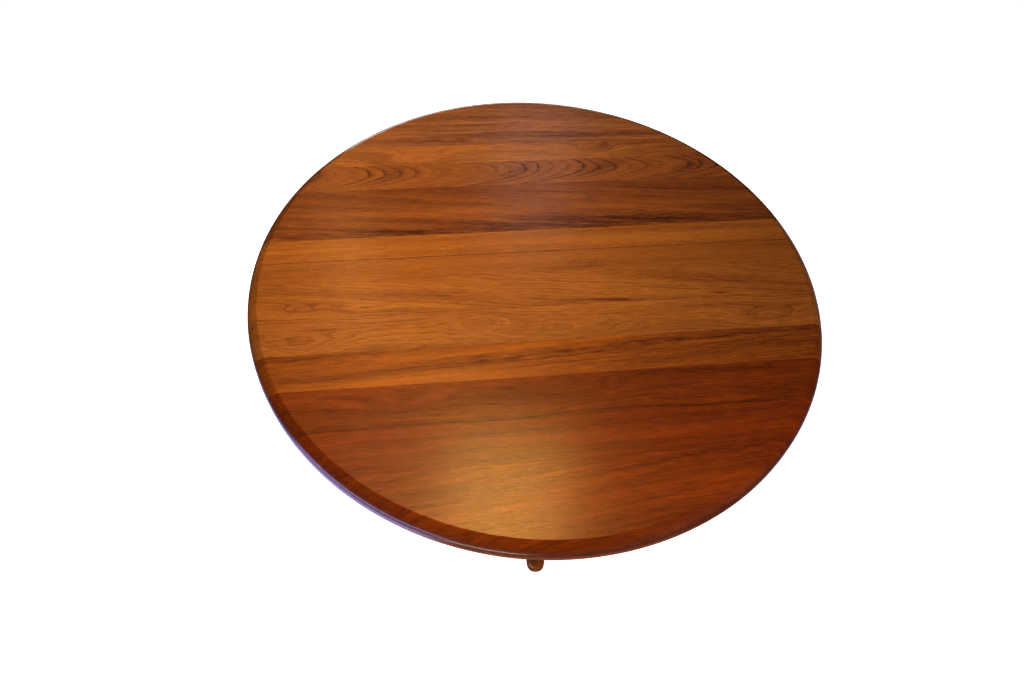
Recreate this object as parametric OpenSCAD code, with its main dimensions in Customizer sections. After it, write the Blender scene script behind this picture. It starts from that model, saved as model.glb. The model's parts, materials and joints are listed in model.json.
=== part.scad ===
// Round drop leaf table in solid teak: a narrow fixed middle section, two leaves
// on flap hinges held up by slotted quadrant stays, and a pedestal with four feet.
// Z up, origin on the floor under the middle of the top, X along the leaf joints.

/* [Top] */
// Diameter of the top with both leaves up
top_d = 1200; // [1160:10:1240]
// Height of the top surface above the floor
table_h = 720; // [710:5:750]
// Thickness of the top boards
board_t = 25; // [24:1:28]
// Depth of the rim pieces, hinge rails and battens under the boards
rail_t = 22; // [22:1:25]
// Distance from the middle to each leaf joint
seam_y = 75; // [75:1:78]
// Open gap at each leaf joint
seam_gap = 0.8; // [0.6:0.1:1.2]
// Width of the rounded upper edge, which meets the flat top in a faint crease
edge_w = 22; // [16:1:24]
// Height of the rounded upper edge
edge_drop = 22; // [16:1:23]
// Radius of the rounded lower edge
under_r = 14; // [8:1:18]
// Width of the rim pieces, measured towards the middle
rim_w = 55; // [50:1:65]

/* [Rails and battens] */
// Width of the hinge rails
rail_w = 45; // [40:1:46]
// Width of the battens across the leaves
batten_w = 45; // [35:1:50]
// Distance from the middle to the centre line of each batten
batten_x = 330; // [320:1:340]

/* [Hinges] */
// Length of each hinge
hinge_l = 70; // [60:1:70]
// Width of each hinge plate, from the pin
hinge_w = 34; // [30:1:36]
// Thickness of the hinge plates
hinge_t = 2.5; // [2:0.1:3]
// Radius of the hinge barrel
barrel_r = 4; // [3.6:0.1:4.2]
// Radius of the hinge pin
pin_r = 2; // [1.8:0.1:2.2]
// Distance from the middle to the inner hinges
hinge_in = 140; // [120:1:160]
// Distance from the middle to the outer hinges
hinge_out = 450; // [430:1:470]

/* [Stays] */
// Radius of the slotted quadrant, from the hinge pin to the middle of its slot
stay_r = 95; // [92:1:96]
// Width of the quadrant
stay_w = 14; // [13:1:14]
// Thickness of the quadrant and of its hanger plate
stay_t = 4; // [3:0.5:4]
// Angle of the thumb screw round the hinge pin, from straight out
stay_a = 97; // [96:0.5:97]
// Radius of the thumb screw's thread
stud_r = 3; // [2.5:0.1:3]
// Radius of the thumb screw's knurled knob
knob_r = 13; // [10:1:14]
// Length of the knob
knob_l = 15; // [12:1:16]

/* [Pedestal] */
// Width of the square hub at the foot of the column
hub_w = 100; // [90:2:104]
// Height of the top of the hub above the floor
hub_top = 168; // [160:1:180]
// Height of the underside of the hub above the floor
hub_low = 45; // [40:1:50]
// Reach of each foot from the middle
foot_reach = 382; // [360:2:400]
// Width of each foot
foot_w = 44; // [40:1:50]
// Thickness of the head block under the rails
head_t = 30; // [25:1:35]
// Height of the glides
glide_h = 6; // [4:1:8]

/* [Hidden] */
$fn = 96;
RADIUS = top_d / 2;
UNDER = table_h - board_t;
AXIS_Z = UNDER - rail_t;
SEAM = seam_y + seam_gap / 2;
REST = seam_y - seam_gap / 2;
INNER_R = RADIUS - rim_w;
LEAF_W = RADIUS - SEAM;
// Play round the column's tenon, round screws and pins, where rails meet the rim,
// and between pieces that move past each other
EPS = 0.02;
RUN = 0.05;
JOINT = 0.1;
GAP = 0.4;

// Board joints as shares of each leaf's width, from the hinge line outwards
FAR_CUTS = [0, 0.12, 0.40, 0.55, 0.67, 1];
NEAR_CUTS = [0, 0.166, 0.324, 0.50, 0.67, 1];
BOARDS = len(FAR_CUTS) - 1;
// Where the two fixed boards meet, measured from the middle
FIXED_JOINT = 15;
RIM_PIECES = 3;
SIDES = ["far", "near"];
ENDS = ["left", "right"];

// Slope of the rounded edge where it meets the flat top
EDGE_SLOPE = 27;
SEAM_ANGLE = asin(SEAM / RADIUS);
RIM_STEP = (180 - 2 * SEAM_ANGLE) / RIM_PIECES;

HINGE_XS = [-hinge_out, -hinge_in, hinge_in, hinge_out];
KNUCKLES = 5;
KNUCKLE_L = hinge_l / KNUCKLES;
KNUCKLE_GAP = 0.3;
PIN_CAP_L = 1.5;
SCREW_R = 1.9;
SCREW_HEAD_R = 4;
SCREW_HEAD_H = 2.2;
SCREW_L = 17;
HINGE_SCREW_Y = hinge_w - 12;
HINGE_SCREW_X = hinge_l / 2 - 9;

// The far leaf's stays lie on the inner side of its battens, the near leaf's on the outer side
FAR_STAY_X = batten_x - batten_w / 2 - stay_t;
NEAR_STAY_X = batten_x + batten_w / 2;
SLOT_W = 2 * stud_r + 0.8;
SLOT_OVER = 0.3;
LUG_LONG = 22;
LUG_RISE = rail_t - 3;
FLANGE_X = 26;
FLANGE_T = 3;
FLANGE_IN = 36;
FLANGE_OUT = 4;
HANGER_END_R = 9;
STRAP_HALF = 7;
STUD_HEAD_R = 4.5;
STUD_HEAD_L = 2;
STUD_PLAY = 0.3;
KNOB_PLAY = 0.1;
KNOB_FLUTES = 18;
FLUTE_R = 1.4;
FLUTE_DEPTH = 0.8;
FLUTE_START = 3;

COLUMN_R = 40;
COLLAR_R = 48;
COLLAR_H = 28;
NECK_AT = 64;
BEAD_R = 10;
BEAD_IN = 3;
TENON_R = 25;
HEAD_X = 140;
HEAD_Y = 132;
HEAD_CHAMFER = 6;
BOLT_X = 50;
BOLT_Y = 50;
BOLT_R = 4;
BOLT_HEAD_R = 7;
BOLT_HEAD_H = 5;
BOLT_RISE = rail_t - 6;

FOOT_TENON_W = 20;
FOOT_TENON_IN = 22;
FOOT_TENON_LOW = 62;
FOOT_TENON_HIGH = 128;
FOOT_ROOT_TOP = 142;
FOOT_FLAT = 104;
TOE_TOP = 44;
TOE_PAD_IN = 322;
GLIDE_R = 13;
GLIDE_AT = 352;
PLATE_T = 4;
PLATE_ARM = 98;
PLATE_ARM_W = 36;
PLATE_MIDDLE_R = 44;
PLATE_SCREWS = [32, 84];

// Where board i of a leaf ends, measured from the middle, to a tenth of a millimetre
function leaf_cut(side, i) =
    i == 0 ? SEAM :
    i == BOARDS ? RADIUS + 1 :
    round(10 * (SEAM + LEAF_W * (side == "far" ? FAR_CUTS : NEAR_CUTS)[i])) / 10;
function bezier(a, b, c, d, steps) = [
    for (i = [0:steps])
        let (t = i / steps, s = 1 - t)
            s * s * s * a + 3 * s * s * t * b + 3 * s * t * t * c + t * t * t * d
];
function arc(cx, cy, r, a0, a1, steps) = [
    for (i = [0:steps])
        let (a = a0 + (a1 - a0) * i / steps)
            [cx + r * cos(a), cy + r * sin(a)]
];

// ---- helpers -------------------------------------------------------------

// Everything is drawn for the far side, and mirrored for the near side
module on_side(side) {
    mirror([0, side == "far" ? 0 : 1, 0])
        children();
}

// Everything is drawn for the right end, and mirrored for the left end
module on_end(end) {
    mirror([end == "right" ? 0 : 1, 0, 0])
        children();
}

module on_side_end(side, end) {
    on_side(side)
        on_end(end)
            children();
}

// A flat shape drawn in Y and Z, given a thickness along X
module yz_plate(x, t) {
    translate([x, 0, 0])
        rotate([90, 0, 90])
            linear_extrude(t)
                children();
}

module x_rod(x, r, l) {
    translate([x, 0, 0])
        rotate([0, 90, 0])
            cylinder(r = r, h = l);
}

// Solid of the whole top between two heights, with the rounded rim
module top_profile() {
    high = board_t + rail_t;
    start = [RADIUS - edge_w, high];
    pull = edge_w / 2;
    polygon(concat(
        [[0, 0]],
        arc(RADIUS - under_r, under_r, under_r, -90, 0, 12),
        bezier(
            [RADIUS, high - edge_drop],
            [RADIUS, high - edge_drop + pull],
            start + pull * [cos(EDGE_SLOPE), -sin(EDGE_SLOPE)],
            start,
            12
        ),
        [[0, high]]
    ));
}

module top_slice(z0, z1) {
    translate([0, 0, AXIS_Z])
        rotate_extrude($fn = 180)
            intersection() {
                top_profile();
                translate([0, z0 - AXIS_Z])
                    square([RADIUS + 1, z1 - z0]);
            }
}

module strip(y0, y1, z0, z1) {
    translate([-RADIUS - 1, y0, z0])
        cube([top_d + 2, y1 - y0, z1 - z0]);
}

// A wood screw standing on its head: its head's face at z = 0, pointing up
module wood_screw() {
    cylinder(r1 = SCREW_HEAD_R, r2 = SCREW_R, h = SCREW_HEAD_H);
    cylinder(r = SCREW_R, h = SCREW_L);
}

// The hole that such a screw sits in
module screw_hole() {
    translate([0, 0, -1])
        cylinder(r = SCREW_HEAD_R + RUN, h = 1 + EPS);
    cylinder(r1 = SCREW_HEAD_R + RUN, r2 = SCREW_R + RUN, h = SCREW_HEAD_H);
    cylinder(r = SCREW_R + RUN, h = SCREW_L + RUN);
}

// Children at each hinge screw, on the leaf side (1) or the fixed side (-1)
module at_hinge_screws(part) {
    for (x = HINGE_XS)
        for (i = [-1:1])
            translate([x + i * HINGE_SCREW_X, seam_y + part * HINGE_SCREW_Y, AXIS_Z])
                children();
}

// Children at each screw of a stay's lug, pointing into the batten
module at_lug_screws(turn) {
    for (i = [-1, 1])
        translate([0, seam_y + stay_r + i * (LUG_LONG / 2 - 5), AXIS_Z + LUG_RISE / 2 + 3])
            rotate([0, turn, 0])
                children();
}

// Children at each screw of a hanger's flange
module at_flange_screws(x) {
    for (y = [FLANGE_OUT + 7, FLANGE_IN - 7])
        translate([x, seam_y - y, AXIS_Z - FLANGE_T])
            children();
}

// ---- the top -------------------------------------------------------------

module fixed_board(i) {
    y0 = i == 1 ? -REST : FIXED_JOINT;
    y1 = i == 1 ? FIXED_JOINT : REST;
    color(i == 1 ? "peru" : "burlywood")
        intersection() {
            top_slice(UNDER, table_h);
            strip(y0, y1, UNDER - 1, table_h + 1);
        }
}

module leaf_board(side, i) {
    color(i == 1 ? "peru" : i == 2 ? "saddlebrown" : i == 3 ? "chocolate" : "sienna")
        on_side(side)
            intersection() {
                top_slice(UNDER, table_h);
                strip(leaf_cut(side, i - 1), leaf_cut(side, i), UNDER - 1, table_h + 1);
            }
}

module rim_ring() {
    difference() {
        top_slice(AXIS_Z, UNDER);
        translate([0, 0, AXIS_Z - 1])
            cylinder(r = INNER_R, h = rail_t + 2, $fn = 180);
    }
}

module rim_fixed(end) {
    color("sienna")
        on_end(end)
            intersection() {
                rim_ring();
                translate([0, -REST, AXIS_Z - 1])
                    cube([RADIUS + 1, 2 * REST, rail_t + 2]);
            }
}

module rim_leaf(side, i) {
    a0 = SEAM_ANGLE + RIM_STEP * (i - 1);
    a1 = a0 + RIM_STEP;
    far = 2 * RADIUS;
    points = [
        [0, 0],
        far * [cos(i == 1 ? 0 : a0), sin(i == 1 ? 0 : a0)],
        far * [cos((a0 + a1) / 2), sin((a0 + a1) / 2)],
        far * [cos(i == RIM_PIECES ? 180 : a1), sin(i == RIM_PIECES ? 180 : a1)]
    ];
    color("sienna")
        on_side(side)
            intersection() {
                rim_ring();
                translate([0, 0, AXIS_Z - 1])
                    linear_extrude(rail_t + 2)
                        polygon(points);
                strip(SEAM, RADIUS + 1, AXIS_Z - 1, UNDER + 1);
            }
}

// Recess for the hinge plates and barrels in a rail
module hinge_recess(part) {
    for (x = HINGE_XS) {
        translate([x - hinge_l / 2 - RUN, part > 0 ? seam_y : seam_y - hinge_w - RUN, AXIS_Z - 1])
            cube([hinge_l + 2 * RUN, hinge_w + RUN, hinge_t + 1]);
        translate([0, seam_y, AXIS_Z])
            x_rod(x - hinge_l / 2 - 3, barrel_r + GAP, hinge_l + 6);
    }
    at_hinge_screws(part)
        screw_hole();
}

module rail_fixed(side) {
    color("peru")
        on_side(side)
            difference() {
                intersection() {
                    strip(seam_y - rail_w, REST, AXIS_Z, UNDER);
                    cylinder(r = INNER_R - JOINT, h = table_h, $fn = 180);
                }
                hinge_recess(-1);
                hanger_screw_holes(side);
                for (x = [-BOLT_X, BOLT_X])
                    translate([x, BOLT_Y, AXIS_Z - 1])
                        cylinder(r = BOLT_R + RUN, h = BOLT_RISE + 1 + RUN);
            }
}

module rail_leaf(side) {
    color("peru")
        on_side(side)
            difference() {
                intersection() {
                    strip(SEAM, seam_y + rail_w, AXIS_Z, UNDER);
                    cylinder(r = INNER_R - JOINT, h = table_h, $fn = 180);
                }
                hinge_recess(1);
            }
}

module batten(side, end) {
    color("peru")
        on_side_end(side, end)
            difference() {
                intersection() {
                    translate([batten_x - batten_w / 2, seam_y + rail_w, AXIS_Z])
                        cube([batten_w, RADIUS, rail_t]);
                    cylinder(r = INNER_R - JOINT, h = table_h, $fn = 180);
                }
                translate([stay_outer_x(side), 0, 0])
                    at_lug_screws(stay_turn(side))
                        screw_hole();
            }
}

// ---- hinges --------------------------------------------------------------

// Knuckles of one half lie at every second place along the barrel
module knuckles(first, r, gap) {
    for (i = [first:2:KNUCKLES - 1])
        x_rod(-hinge_l / 2 + i * KNUCKLE_L + gap / 2, r, KNUCKLE_L - gap);
}

module hinge_half(part) {
    own = part > 0 ? 1 : 0;
    difference() {
        union() {
            translate([-hinge_l / 2, part > 0 ? 0 : -hinge_w, 0])
                cube([hinge_l, hinge_w, hinge_t]);
            knuckles(own, barrel_r, KNUCKLE_GAP);
        }
        knuckles(1 - own, barrel_r + GAP, -KNUCKLE_GAP);
        x_rod(-hinge_l / 2 - 1, pin_r + RUN, hinge_l + 2);
        for (i = [-1:1])
            translate([i * HINGE_SCREW_X, part * HINGE_SCREW_Y, 0])
                screw_hole();
    }
}

module hinge_plates(side, part) {
    color("goldenrod")
        on_side(side)
            for (x = HINGE_XS)
                translate([x, seam_y, AXIS_Z])
                    hinge_half(part);
}

module hinge_pins(side) {
    color("darkgoldenrod")
        on_side(side)
            for (x = HINGE_XS)
                translate([x, seam_y, AXIS_Z]) {
                    x_rod(-hinge_l / 2 - PIN_CAP_L / 2, pin_r, hinge_l + PIN_CAP_L);
                    x_rod(-hinge_l / 2 - PIN_CAP_L, barrel_r - 1, PIN_CAP_L);
                    x_rod(hinge_l / 2, barrel_r - 1, PIN_CAP_L);
                }
}

// ---- stays ---------------------------------------------------------------

// X of the stay's plate, of its outer face and of its hanger, at the right end
function stay_x(side) = side == "far" ? FAR_STAY_X : NEAR_STAY_X;
function stay_outer_x(side) = side == "far" ? FAR_STAY_X : NEAR_STAY_X + stay_t;
function stay_turn(side) = side == "far" ? 90 : -90;
function hanger_x(side) = side == "far" ? FAR_STAY_X - GAP - stay_t : NEAR_STAY_X + stay_t + GAP;

// Arc band about the hinge pin, in Y and Z, from a0 to a1 degrees below straight out
module arc_band(r, w, a0, a1) {
    big = 3 * r;
    mid = (a0 + a1) / 2;
    intersection() {
        difference() {
            circle(r = r + w / 2);
            circle(r = r - w / 2);
        }
        polygon([
            [0, 0],
            big * [cos(a0), -sin(a0)],
            big * [cos(mid), -sin(mid)],
            big * [cos(a1), -sin(a1)]
        ]);
    }
    for (a = [a0, a1])
        translate(r * [cos(a), -sin(a)])
            circle(r = w / 2);
}

module quadrant_outline() {
    slot_end = stay_a + SLOT_OVER;
    slot_start = stay_a - 90 - SLOT_OVER;
    difference() {
        union() {
            arc_band(stay_r, stay_w, slot_start, slot_end);
            translate([stay_r - LUG_LONG / 2, -stay_w])
                square([LUG_LONG, stay_w + LUG_RISE]);
        }
        arc_band(stay_r, SLOT_W, slot_start, slot_end);
    }
}

module stay(side, end) {
    color("goldenrod")
        on_side_end(side, end)
            difference() {
                translate([0, seam_y, AXIS_Z])
                    yz_plate(stay_x(side), stay_t)
                        quadrant_outline();
                translate([stay_outer_x(side), 0, 0])
                    at_lug_screws(stay_turn(side))
                        screw_hole();
            }
}

module hanger_outline() {
    eye_y = stay_r * cos(stay_a);
    eye_z = -stay_r * sin(stay_a);
    polygon([
        [-FLANGE_IN, 0],
        [-FLANGE_OUT, 0],
        [-FLANGE_OUT, -FLANGE_T - 4],
        [eye_y + STRAP_HALF, eye_z + 2 * HANGER_END_R],
        [eye_y + STRAP_HALF, eye_z],
        [eye_y - STRAP_HALF, eye_z],
        [eye_y - STRAP_HALF, eye_z + 2 * HANGER_END_R]
    ]);
    translate([eye_y, eye_z])
        circle(r = HANGER_END_R);
}

// X of the middle of a hanger's flange, at the right end
function flange_x(side) = hanger_x(side) + stay_t / 2 + (side == "far" ? -1 : 1) * (FLANGE_X - stay_t) / 2;
function flange_screw_x(side) = flange_x(side) + (side == "far" ? -1 : 1) * stay_t / 2;

module hanger(side, end) {
    color("darkgoldenrod")
        on_side_end(side, end)
            difference() {
                union() {
                    translate([0, seam_y, AXIS_Z])
                        yz_plate(hanger_x(side), stay_t)
                            hanger_outline();
                    translate([flange_x(side) - FLANGE_X / 2, seam_y - FLANGE_IN, AXIS_Z - FLANGE_T])
                        cube([FLANGE_X, FLANGE_IN - FLANGE_OUT, FLANGE_T]);
                }
                at_screw_centre()
                    x_rod(hanger_x(side) - 1, stud_r + RUN, stay_t + 2);
                at_flange_screws(flange_screw_x(side))
                    screw_hole();
            }
}

module at_screw_centre() {
    translate([0, seam_y + stay_r * cos(stay_a), AXIS_Z - stay_r * sin(stay_a)])
        children();
}

// The thumb screw at the right end: knob, stud and end head on one axis
module thumb_screw(side, end) {
    turn = side == "far" ? -90 : 90;
    start = side == "far" ? hanger_x(side) : hanger_x(side) + stay_t;
    reach = 2 * stay_t + GAP + STUD_PLAY;
    color("gold")
        on_side_end(side, end)
            at_screw_centre()
                translate([start, 0, 0])
                    rotate([0, turn, 0]) {
                        translate([0, 0, KNOB_PLAY])
                            knob();
                        translate([0, 0, -reach])
                            cylinder(r = stud_r, h = reach + 1);
                        translate([0, 0, -reach - STUD_HEAD_L])
                            cylinder(r = STUD_HEAD_R, h = STUD_HEAD_L);
                    }
}

// Knurled knob, from its inner face outwards
module knob() {
    difference() {
        cylinder(r = knob_r, h = knob_l);
        for (i = [0:KNOB_FLUTES - 1])
            rotate([0, 0, i * 360 / KNOB_FLUTES])
                translate([knob_r + FLUTE_R - FLUTE_DEPTH, 0, FLUTE_START])
                    cylinder(r = FLUTE_R, h = knob_l, $fn = 24);
    }
}

// ---- screws --------------------------------------------------------------

module hanger_screw_holes(side) {
    for (end = ENDS)
        on_end(end)
            at_flange_screws(flange_screw_x(side))
                screw_hole();
}

module screws_fixed() {
    color("gold")
        for (side = SIDES)
            on_side(side) {
                at_hinge_screws(-1)
                    wood_screw();
                for (end = ENDS)
                    on_end(end)
                        at_flange_screws(flange_screw_x(side))
                            wood_screw();
            }
}

module screws_leaf(side) {
    color("gold")
        on_side(side) {
            at_hinge_screws(1)
                wood_screw();
            for (end = ENDS)
                on_end(end)
                    translate([stay_outer_x(side), 0, 0])
                        at_lug_screws(stay_turn(side))
                            wood_screw();
        }
}

// ---- pedestal ------------------------------------------------------------

module head_block() {
    low = AXIS_Z - head_t;
    chamfer = HEAD_CHAMFER * sqrt(2);
    color("sienna")
        difference() {
            translate([-HEAD_X / 2, -HEAD_Y / 2, low])
                cube([HEAD_X, HEAD_Y, head_t]);
            for (x = [-1, 1])
                translate([x * HEAD_X / 2, 0, low])
                    rotate([0, 45, 0])
                        cube([chamfer, HEAD_Y + 2, chamfer], center = true);
            translate([0, 0, low - 1])
                cylinder(r = TENON_R + EPS, h = head_t + 2);
            at_head_bolts()
                translate([0, 0, -1])
                    cylinder(r = BOLT_R + RUN, h = head_t + 2);
        }
}

module at_head_bolts() {
    for (x = [-BOLT_X, BOLT_X])
        for (y = [-BOLT_Y, BOLT_Y])
            translate([x, y, AXIS_Z - head_t])
                children();
}

module head_bolts() {
    color("silver")
        at_head_bolts() {
            translate([0, 0, -BOLT_HEAD_H])
                cylinder(r = BOLT_HEAD_R, h = BOLT_HEAD_H, $fn = 6);
            cylinder(r = BOLT_R, h = head_t + BOLT_RISE);
        }
}

// Turned shaft with a collar at each end, over a square hub
module column() {
    top = AXIS_Z - head_t;
    shaft = concat(
        [[0, hub_top - 1], [COLLAR_R, hub_top - 1]],
        arc(COLLAR_R - BEAD_IN, hub_top + COLLAR_H / 2, BEAD_R, -60, 60, 8),
        [[COLUMN_R + 3, hub_top + COLLAR_H + 2]],
        [[COLUMN_R, hub_top + NECK_AT], [COLUMN_R - 2, (hub_top + top) / 2], [COLUMN_R, top - NECK_AT]],
        [[COLUMN_R + 3, top - COLLAR_H - 2]],
        arc(COLLAR_R - BEAD_IN, top - COLLAR_H / 2, BEAD_R, -60, 60, 8),
        [[COLLAR_R, top], [TENON_R, top], [TENON_R, AXIS_Z], [0, AXIS_Z]]
    );
    color("sienna") {
        difference() {
            union() {
                translate([-hub_w / 2, -hub_w / 2, hub_low])
                    cube([hub_w, hub_w, hub_top - hub_low]);
                rotate_extrude()
                    polygon(shaft);
            }
            for (a = [0:90:270])
                rotate([0, 0, a])
                    foot_tenon(RUN);
            at_base_screws(0)
                screw_hole();
        }
    }
}

module foot_tenon(clear) {
    low = FOOT_TENON_LOW;
    high = FOOT_TENON_HIGH;
    translate([FOOT_TENON_IN - clear, -FOOT_TENON_W / 2 - clear, low - clear])
        cube([hub_w / 2 - FOOT_TENON_IN + 1 + clear, FOOT_TENON_W + 2 * clear, high - low + 2 * clear]);
}

// Side view of a foot, outwards and up
module foot_outline() {
    root = hub_w / 2;
    toe_r = 20;
    toe = foot_reach - toe_r;
    polygon(concat(
        [[root, hub_low], [FOOT_FLAT, hub_low]],
        bezier([FOOT_FLAT + 4, hub_low], [180, 44], [240, 14], [TOE_PAD_IN - 12, glide_h + 1], 14),
        [[TOE_PAD_IN, glide_h], [foot_reach - 8, glide_h]],
        arc(foot_reach - 8, glide_h + 8, 8, -70, 0, 5),
        arc(toe, TOE_TOP - toe_r, toe_r, 0, 90, 10),
        bezier([toe - 8, TOE_TOP], [250, 56], [160, FOOT_ROOT_TOP - 4], [root, FOOT_ROOT_TOP], 18)
    ));
}

module foot(way) {
    turn = way == "right" ? 0 : way == "far" ? 90 : way == "left" ? 180 : 270;
    color("sienna")
        rotate([0, 0, turn])
            difference() {
                union() {
                    intersection() {
                        translate([0, foot_w / 2, 0])
                            rotate([90, 0, 0])
                                linear_extrude(foot_w)
                                    foot_outline();
                        foot_plan();
                    }
                    foot_tenon(0);
                }
                foot_base_screw()
                    screw_hole();
            }
}

// Top view of a foot, with a round toe
module foot_plan() {
    linear_extrude(hub_top) {
        translate([0, -foot_w / 2])
            square([foot_reach - foot_w / 2, foot_w]);
        translate([foot_reach - foot_w / 2, 0])
            circle(r = foot_w / 2);
    }
}

module foot_base_screw() {
    translate([PLATE_SCREWS[1], 0, hub_low - PLATE_T])
        children();
}

// Screws of the base plate: into the hub (0) or into the feet (1)
module at_base_screws(which) {
    for (a = [0:90:270])
        rotate([0, 0, a + (which == 0 ? 45 : 0)])
            translate([PLATE_SCREWS[which], 0, hub_low - PLATE_T])
                children();
}

module base_plate() {
    color("dimgray")
        difference() {
            translate([0, 0, hub_low - PLATE_T])
                linear_extrude(PLATE_T) {
                    square([2 * PLATE_ARM, PLATE_ARM_W], center = true);
                    square([PLATE_ARM_W, 2 * PLATE_ARM], center = true);
                    circle(r = PLATE_MIDDLE_R);
                }
            for (which = [0, 1])
                at_base_screws(which)
                    screw_hole();
        }
}

module base_screws() {
    color("silver")
        for (which = [0, 1])
            at_base_screws(which)
                wood_screw();
}

module glides() {
    color("black")
        for (a = [0:90:270])
            rotate([0, 0, a])
                translate([GLIDE_AT, 0, 0]) {
                    cylinder(r = GLIDE_R - 1, h = 1);
                    translate([0, 0, 1])
                        cylinder(r = GLIDE_R, h = glide_h - 1);
                }
}

// ---- the parts -----------------------------------------------------------

for (i = [1:2])
    fixed_board(i);
for (side = SIDES)
    for (i = [1:BOARDS])
        leaf_board(side, i);
for (end = ENDS)
    rim_fixed(end);
for (side = SIDES)
    for (i = [1:RIM_PIECES])
        rim_leaf(side, i);
for (side = SIDES) {
    rail_fixed(side);
    rail_leaf(side);
    hinge_plates(side, -1);
    hinge_plates(side, 1);
    hinge_pins(side);
    screws_leaf(side);
}
for (side = SIDES)
    for (end = ENDS) {
        batten(side, end);
        stay(side, end);
        hanger(side, end);
        thumb_screw(side, end);
    }
screws_fixed();
head_block();
head_bolts();
column();
for (way = ["right", "far", "left", "near"])
    foot(way);
base_plate();
base_screws();
glides();
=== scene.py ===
import json
import math

import bmesh
import bpy
from mathutils import Matrix, Vector


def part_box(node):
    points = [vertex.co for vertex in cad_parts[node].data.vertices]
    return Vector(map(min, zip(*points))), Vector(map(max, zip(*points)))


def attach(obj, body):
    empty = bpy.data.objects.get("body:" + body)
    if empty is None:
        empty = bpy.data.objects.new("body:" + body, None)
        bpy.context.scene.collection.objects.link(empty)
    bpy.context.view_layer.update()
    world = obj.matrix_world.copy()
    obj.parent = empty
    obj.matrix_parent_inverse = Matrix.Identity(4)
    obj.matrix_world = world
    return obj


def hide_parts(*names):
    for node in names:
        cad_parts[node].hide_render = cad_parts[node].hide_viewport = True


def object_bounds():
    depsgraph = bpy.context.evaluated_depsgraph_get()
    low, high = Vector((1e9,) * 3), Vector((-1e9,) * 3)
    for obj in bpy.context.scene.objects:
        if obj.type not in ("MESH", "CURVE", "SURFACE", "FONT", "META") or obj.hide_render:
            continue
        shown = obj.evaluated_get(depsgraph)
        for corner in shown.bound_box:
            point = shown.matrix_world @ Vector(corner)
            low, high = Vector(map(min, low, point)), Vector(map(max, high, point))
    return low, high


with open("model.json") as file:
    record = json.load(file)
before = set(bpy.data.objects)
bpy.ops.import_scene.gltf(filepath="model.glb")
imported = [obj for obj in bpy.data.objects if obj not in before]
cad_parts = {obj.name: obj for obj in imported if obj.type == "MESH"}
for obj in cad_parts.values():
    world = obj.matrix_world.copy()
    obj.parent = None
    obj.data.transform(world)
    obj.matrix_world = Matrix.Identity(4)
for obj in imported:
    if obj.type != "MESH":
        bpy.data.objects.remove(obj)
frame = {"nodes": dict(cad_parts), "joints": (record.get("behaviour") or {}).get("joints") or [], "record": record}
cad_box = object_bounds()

# Looks of the round teak drop leaf table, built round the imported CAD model. Lengths are in metres.

# ---- sizes that come from the frame ----------------------------------------

LOW, HIGH = cad_box
RADIUS = (HIGH.x - LOW.x) / 2
TOP_Z = HIGH.z
JOINTS = {joint["name"]: joint for joint in frame["joints"]}
HINGE_Y = JOINTS["leaf_far_drop"]["pos_m"][1]
HINGE_Z = JOINTS["leaf_far_drop"]["pos_m"][2]
UNDER_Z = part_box("board_far_1")[0].z
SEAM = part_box("board_far_1")[0].y
FIXED_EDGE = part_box("board_fixed_2")[1].y
NODE_BODY = {n: body for body, nodes in frame["record"]["behaviour"]["bodies"].items() for n in nodes}
SIDES = ("far", "near")
ENDS = ("left", "right")

# ---- sizes of the soft edges, and how finely they are meshed ---------------

RIM_W = 0.055
RIM_IN = RADIUS - RIM_W
RIM_BEVEL = 0.003
RIM_PIECES = 3
UNDER_R = 0.014

# The boards' rounded edge: its width and depth, how steeply it leaves the flat top, and the crease
# there, as a share of the curve's last step and a width on the flat
EDGE_W = 0.022
EDGE_DROP = 0.022
EDGE_SLOPE = math.radians(27)
EDGE_STEPS = 24
CREASE_SHARE = 0.15
CREASE_W = 0.0004

# How wide the corners are eased at the open far leaf joint, at the near one and at the glued
# joints. The near joint is drawn tighter than in the CAD by NEAR_SEAM_CLOSED on each side.
FAR_SEAM_EASE = 0.0024
NEAR_SEAM_EASE = 0.0004
NEAR_SEAM_CLOSED = 0.0002
JOINT_EASE = 0.00012

# Rails, battens and head block: how wide their edges are eased, the shortest edge that is eased,
# and the angle from which an edge counts as sharp
RAIL_EASE, RAIL_EDGE = 0.0012, 0.05
BLOCK_EASE, BLOCK_EDGE = 0.0015, 0.03
SHARP_EDGE = math.radians(60)

# The square hub, and how far its upper and its upright edges are eased
HUB_TOP = 0.168
HUB_HALF = 0.050
HUB_TOP_EASE = 0.006
HUB_EASE = 0.002

# The column's radii, and heights measured from the end that is nearer. It sinks a little into the
# hub. The collars are arcs of radius COLLAR_R round a circle of radius COLLAR_IN.
SINK = 0.002
COLUMN_END_R = 0.048
COLLAR_IN, COLLAR_Z = 0.045, 0.014
COLLAR_R = 0.010
COLLAR_HALF_ARC = 64
SHAFT_END_R, SHAFT_END_Z = 0.0425, 0.026
SHAFT_PULL_R, SHAFT_PULL_Z = 0.0385, 0.07
WAIST_R, WAIST_PULL_Z = 0.038, 0.1

# A foot: where it starts in the hub, its half width, the length of its round toe, the share of its
# sections before the toe, and the power that makes the sections squarer than an ellipse
FOOT_START = 0.050
FOOT_HALF = 0.022
TOE = 0.022
BEFORE_TOE = 0.78
FOOT_POWER = 2 / 3.6
FOOT_STATIONS = 44
FOOT_RING = 40

# Steps of a full turn and of an arc, and the distances within which two places are one
TURN = 288
ARC_STEPS = 12
SAME_PLACE = 0.002
TOUCHING = 1e-5

# ---- looks that several pieces share ---------------------------------------

# Noise cells per metre along the grain, across it and through the board
SLOW_WAVE = (1.7, 9, 5)
QUICK_WAVE = (7, 55, 30)
FLECKS = (30, 330, 200)
FIBRES = (38, 760, 760)
PORES = (150, 1500, 1500)

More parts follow.
